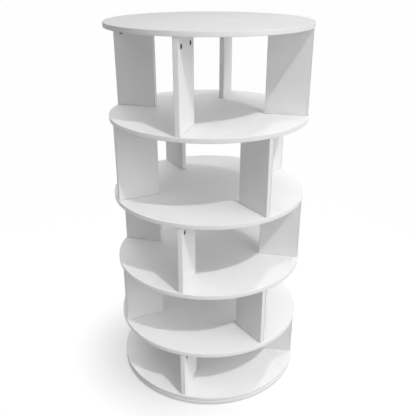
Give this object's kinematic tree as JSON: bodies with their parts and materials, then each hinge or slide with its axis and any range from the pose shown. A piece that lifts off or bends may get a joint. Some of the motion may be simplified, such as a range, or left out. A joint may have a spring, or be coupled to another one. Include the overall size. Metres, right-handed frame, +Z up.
{
  "type": "revolving shelf tower",
  "caption": "Floor-standing revolving tower of round white shelves with open radial compartments, turning on a ring bearing over a thin base disc.",
  "frame": {"origin": "on the floor under the tower's axis, in the plane of the undersides of the foot pads", "axes": "+Z up along the turning axis; -Y is the front that the picture looks at; +X to its right"},
  "size_m": [0.6499, 0.65, 1.2355],
  "materials": {
    "white_board": "white melamine-faced board with matching edge band, satin",
    "zinc_cam": "dull die-cast zinc, dark in its bore",
    "plated_steel": "zinc-plated steel",
    "beech": "raw fluted beech",
    "race_aluminium": "turned aluminium",
    "ball_steel": "polished bearing steel",
    "cage_nylon": "natural nylon",
    "pad_rubber": "black non-slip rubber"
  },
  "bodies": {
    "base": {"base_plate": "white_board", "foot_pads": "pad_rubber", "bearing_outer_race": "race_aluminium", "base_race_screws": "plated_steel"},
    "ball_ring": {"bearing_balls": "ball_steel", "bearing_cage": "cage_nylon"},
    "stack": {"bottom_shelf": "white_board", "shelf_2": "white_board", "shelf_3": "white_board", "shelf_4": "white_board", "shelf_5": "white_board", "top_board": "white_board", "divider_tier_1_front": "white_board", "divider_tier_1_right": "white_board", "divider_tier_1_back": "white_board", "divider_tier_1_left": "white_board", "divider_tier_2_front": "white_board", "divider_tier_2_right": "white_board", "divider_tier_2_back": "white_board", "divider_tier_2_left": "white_board", "divider_tier_3_front": "white_board", "divider_tier_3_right": "white_board", "divider_tier_3_back": "white_board", "divider_tier_3_left": "white_board", "divider_tier_4_front": "white_board", "divider_tier_4_right": "white_board", "divider_tier_4_back": "white_board", "divider_tier_4_left": "white_board", "divider_tier_5_front": "white_board", "divider_tier_5_right": "white_board", "divider_tier_5_back": "white_board", "divider_tier_5_left": "white_board", "cam_locks_tier_1": "zinc_cam", "cam_locks_tier_2": "zinc_cam", "cam_locks_tier_3": "zinc_cam", "cam_locks_tier_4": "zinc_cam", "cam_locks_tier_5": "zinc_cam", "cam_bolts_tier_1": "plated_steel", "cam_bolts_tier_2": "plated_steel", "cam_bolts_tier_3": "plated_steel", "cam_bolts_tier_4": "plated_steel", "cam_bolts_tier_5": "plated_steel", "dowels_tier_1": "beech", "dowels_tier_2": "beech", "dowels_tier_3": "beech", "dowels_tier_4": "beech", "dowels_tier_5": "beech", "divider_screws_tier_1": "plated_steel", "divider_screws_tier_2": "plated_steel", "divider_screws_tier_3": "plated_steel", "divider_screws_tier_4": "plated_steel", "divider_screws_tier_5": "plated_steel", "bearing_inner_race": "race_aluminium", "shelf_race_screws": "plated_steel"}
  },
  "joints": [
    {"name": "stack_spin", "type": "hinge", "parent": "base", "child": "stack", "pos_m": [0, 0, 0.01625], "axis": [0, 0, 1], "continuous": true},
    {"name": "ball_ring_roll", "type": "hinge", "parent": "base", "child": "ball_ring", "pos_m": [0, 0, 0.01625], "axis": [0, 0, 1], "continuous": true}
  ],
  "couplings": [
    {"joint": "ball_ring_roll", "follows": "stack_spin", "ratio": 0.5}
  ]
}
